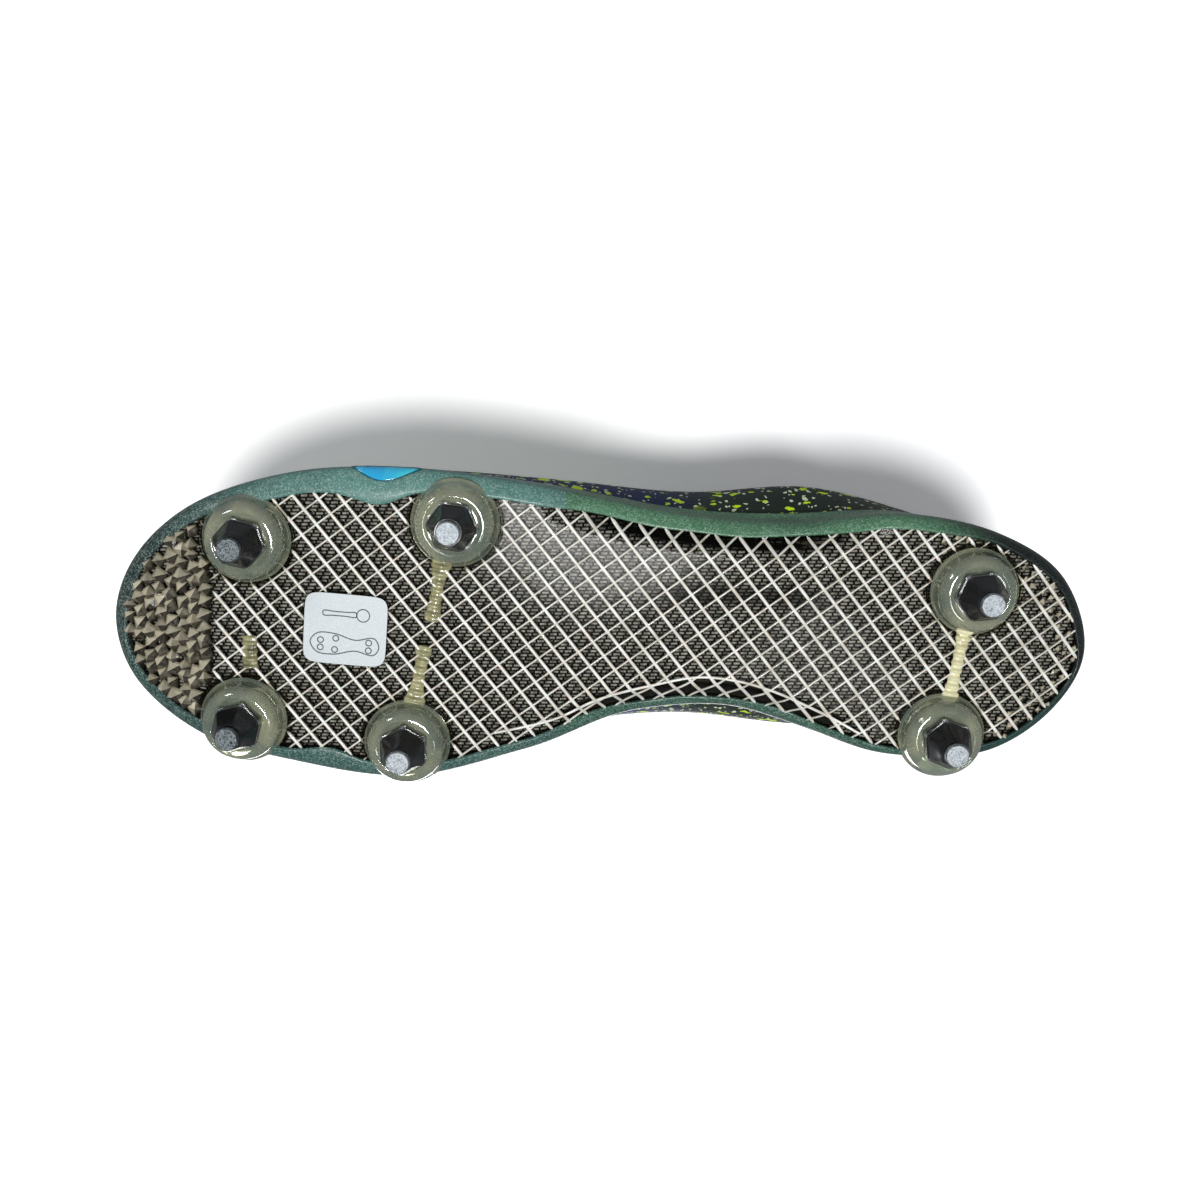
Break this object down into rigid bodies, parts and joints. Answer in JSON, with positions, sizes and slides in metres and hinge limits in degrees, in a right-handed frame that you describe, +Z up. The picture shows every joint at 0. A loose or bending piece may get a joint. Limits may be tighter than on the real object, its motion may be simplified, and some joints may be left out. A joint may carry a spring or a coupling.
{
  "type": "soccer boot",
  "caption": "Low-cut soft-ground soccer boot for the left foot: clear ribbed plate over a woven board, screw-in studs, speckled woven upper with laces.",
  "frame": {"origin": "under the middle of the boot, on the ground that the stud tips stand on", "axes": "+X towards the toe, +Y towards the outer side of the foot, +Z up"},
  "size_m": [0.2868, 0.0932, 0.0954],
  "materials": {
    "clear_plastic": "clear, polished",
    "weave": "woven board under clear resin",
    "teal_plastic": "glitter-filled, satin",
    "blue_plastic": "clear, glossy",
    "board": "matt",
    "sock_foam": "brushed cloth over foam",
    "label": "satin film",
    "upper_textile": "woven, speckled",
    "stiffener": "matt",
    "foam": "open-cell foam",
    "lining_cloth": "brushed knit",
    "binding": "ribbed knit",
    "film": "satin film",
    "tongue_textile": "ribbed knit",
    "lace_cord": "braided",
    "steel": "turned",
    "black_plastic": "satin",
    "aluminium": "blasted face"
  },
  "bodies": {
    "boot": {"outsole_plate": "clear_plastic", "weave_inlay": "weave", "sidewall_rand": "teal_plastic", "air_window_lateral": "blue_plastic", "air_cushion": "blue_plastic", "filler_board": "board", "insole_board": "board", "sockliner": "sock_foam", "sole_label": "label", "upper_shell": "upper_textile", "toe_puff": "stiffener", "heel_counter": "stiffener", "ankle_pad_lateral": "foam", "ankle_pad_medial": "foam", "lining": "lining_cloth", "collar_binding": "binding", "eyestay_lateral": "film", "eyestay_medial": "film", "tongue": "tongue_textile", "lace": "lace_cord", "stud_insert_1": "steel", "stud_insert_2": "steel", "stud_insert_3": "steel", "stud_insert_4": "steel", "stud_insert_5": "steel", "stud_insert_6": "steel"},
    "stud_1_screw": {"stud_core_1": "aluminium"},
    "stud_1_body": {"stud_cone_1": "black_plastic"},
    "stud_2_screw": {"stud_core_2": "aluminium"},
    "stud_2_body": {"stud_cone_2": "black_plastic"},
    "stud_3_screw": {"stud_core_3": "aluminium"},
    "stud_3_body": {"stud_cone_3": "black_plastic"},
    "stud_4_screw": {"stud_core_4": "aluminium"},
    "stud_4_body": {"stud_cone_4": "black_plastic"},
    "stud_5_screw": {"stud_core_5": "aluminium"},
    "stud_5_body": {"stud_cone_5": "black_plastic"},
    "stud_6_screw": {"stud_core_6": "aluminium"},
    "stud_6_body": {"stud_cone_6": "black_plastic"}
  },
  "joints": [
    {"name": "stud_1_travel", "type": "slide", "parent": "boot", "child": "stud_1_screw", "axis": [0, 0, -1], "range_m": [0, 0.009]},
    {"name": "stud_1_turn", "type": "hinge", "parent": "stud_1_screw", "child": "stud_1_body", "pos_m": [0.10263, 0.02508, 0.006], "axis": [0, 0, -1], "range_deg": [0, 3240]},
    {"name": "stud_2_travel", "type": "slide", "parent": "boot", "child": "stud_2_screw", "axis": [0, 0, -1], "range_m": [0, 0.009]},
    {"name": "stud_2_turn", "type": "hinge", "parent": "stud_2_screw", "child": "stud_2_body", "pos_m": [0.10443, -0.02912, 0.006], "axis": [0, 0, -1], "range_deg": [0, 3240]},
    {"name": "stud_3_travel", "type": "slide", "parent": "boot", "child": "stud_3_screw", "axis": [0, 0, -1], "range_m": [0, 0.009]},
    {"name": "stud_3_turn", "type": "hinge", "parent": "stud_3_screw", "child": "stud_3_body", "pos_m": [0.04303, 0.03208, 0.006], "axis": [0, 0, -1], "range_deg": [0, 3240]},
    {"name": "stud_4_travel", "type": "slide", "parent": "boot", "child": "stud_4_screw", "axis": [0, 0, -1], "range_m": [0, 0.009]},
    {"name": "stud_4_turn", "type": "hinge", "parent": "stud_4_screw", "child": "stud_4_body", "pos_m": [0.05613, -0.03412, 0.006], "axis": [0, 0, -1], "range_deg": [0, 3240]},
    {"name": "stud_5_travel", "type": "slide", "parent": "boot", "child": "stud_5_screw", "axis": [0, 0, -1], "range_m": [0, 0.009]},
    {"name": "stud_5_turn", "type": "hinge", "parent": "stud_5_screw", "child": "stud_5_body", "pos_m": [-0.10697, 0.01818, 0.006], "axis": [0, 0, -1], "range_deg": [0, 3240]},
    {"name": "stud_6_travel", "type": "slide", "parent": "boot", "child": "stud_6_screw", "axis": [0, 0, -1], "range_m": [0, 0.009]},
    {"name": "stud_6_turn", "type": "hinge", "parent": "stud_6_screw", "child": "stud_6_body", "pos_m": [-0.10147, -0.02552, 0.006], "axis": [0, 0, -1], "range_deg": [0, 3240]}
  ],
  "couplings": [
    {"joint": "stud_1_turn", "follows": "stud_1_travel", "rad_per_m": 6283.2},
    {"joint": "stud_2_turn", "follows": "stud_2_travel", "rad_per_m": 6283.2},
    {"joint": "stud_3_turn", "follows": "stud_3_travel", "rad_per_m": 6283.2},
    {"joint": "stud_4_turn", "follows": "stud_4_travel", "rad_per_m": 6283.2},
    {"joint": "stud_5_turn", "follows": "stud_5_travel", "rad_per_m": 6283.2},
    {"joint": "stud_6_turn", "follows": "stud_6_travel", "rad_per_m": 6283.2}
  ]
}
